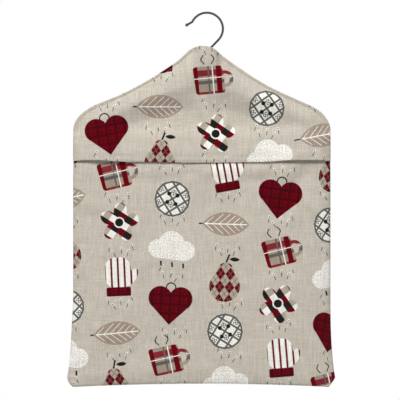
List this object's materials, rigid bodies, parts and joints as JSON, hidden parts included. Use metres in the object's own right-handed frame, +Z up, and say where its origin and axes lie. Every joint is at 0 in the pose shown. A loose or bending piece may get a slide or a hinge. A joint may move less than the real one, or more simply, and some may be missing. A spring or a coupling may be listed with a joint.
{
  "type": "peg bag",
  "caption": "Flat cloth bag for clothes pegs, sewn round a wooden coat hanger with a swivelling steel hook; the yoke's lower edge lifts as a flap to open the mouth of the pouch.",
  "frame": {"origin": "saddle of the hook: the inner top of the round wire, where it hangs on a rail or a washing line", "axes": "+Z up, +X to the right seen from the front, the front of the bag faces -Y; the hook's stem lies on the Z axis"},
  "size_m": [0.305, 0.0215, 0.4279],
  "materials": {
    "printed_cloth": "matt linen-look cotton with a small printed pattern",
    "cloth_reverse": "matt unprinted reverse of the cloth",
    "steel": "drawn steel wire, darkened by handling",
    "wood": "clear satin varnish on pale wood"
  },
  "bodies": {
    "hook": {"hook": "steel", "hook_washer": "steel"},
    "bag": {"coat_hanger": "wood", "back_panel": "printed_cloth", "yoke": "printed_cloth", "pouch_front": "printed_cloth", "pouch_hem": "cloth_reverse", "left_shoulder_seam": "cloth_reverse", "right_shoulder_seam": "cloth_reverse", "left_side_seam": "cloth_reverse", "right_side_seam": "cloth_reverse", "left_corner_seam": "cloth_reverse", "right_corner_seam": "cloth_reverse", "base_seam": "cloth_reverse"},
    "flap": {"yoke_flap": "printed_cloth", "yoke_hem": "cloth_reverse"}
  },
  "joints": [
    {"name": "hook_swivel", "type": "hinge", "parent": "hook", "child": "bag", "pos_m": [0, 0, -0.06], "axis": [0, 0, 1], "continuous": true},
    {"name": "flap_lift", "type": "hinge", "parent": "bag", "child": "flap", "pos_m": [-0.005, -0.0091, -0.123], "axis": [-1, 0, 0], "range_deg": [0, 60]}
  ]
}
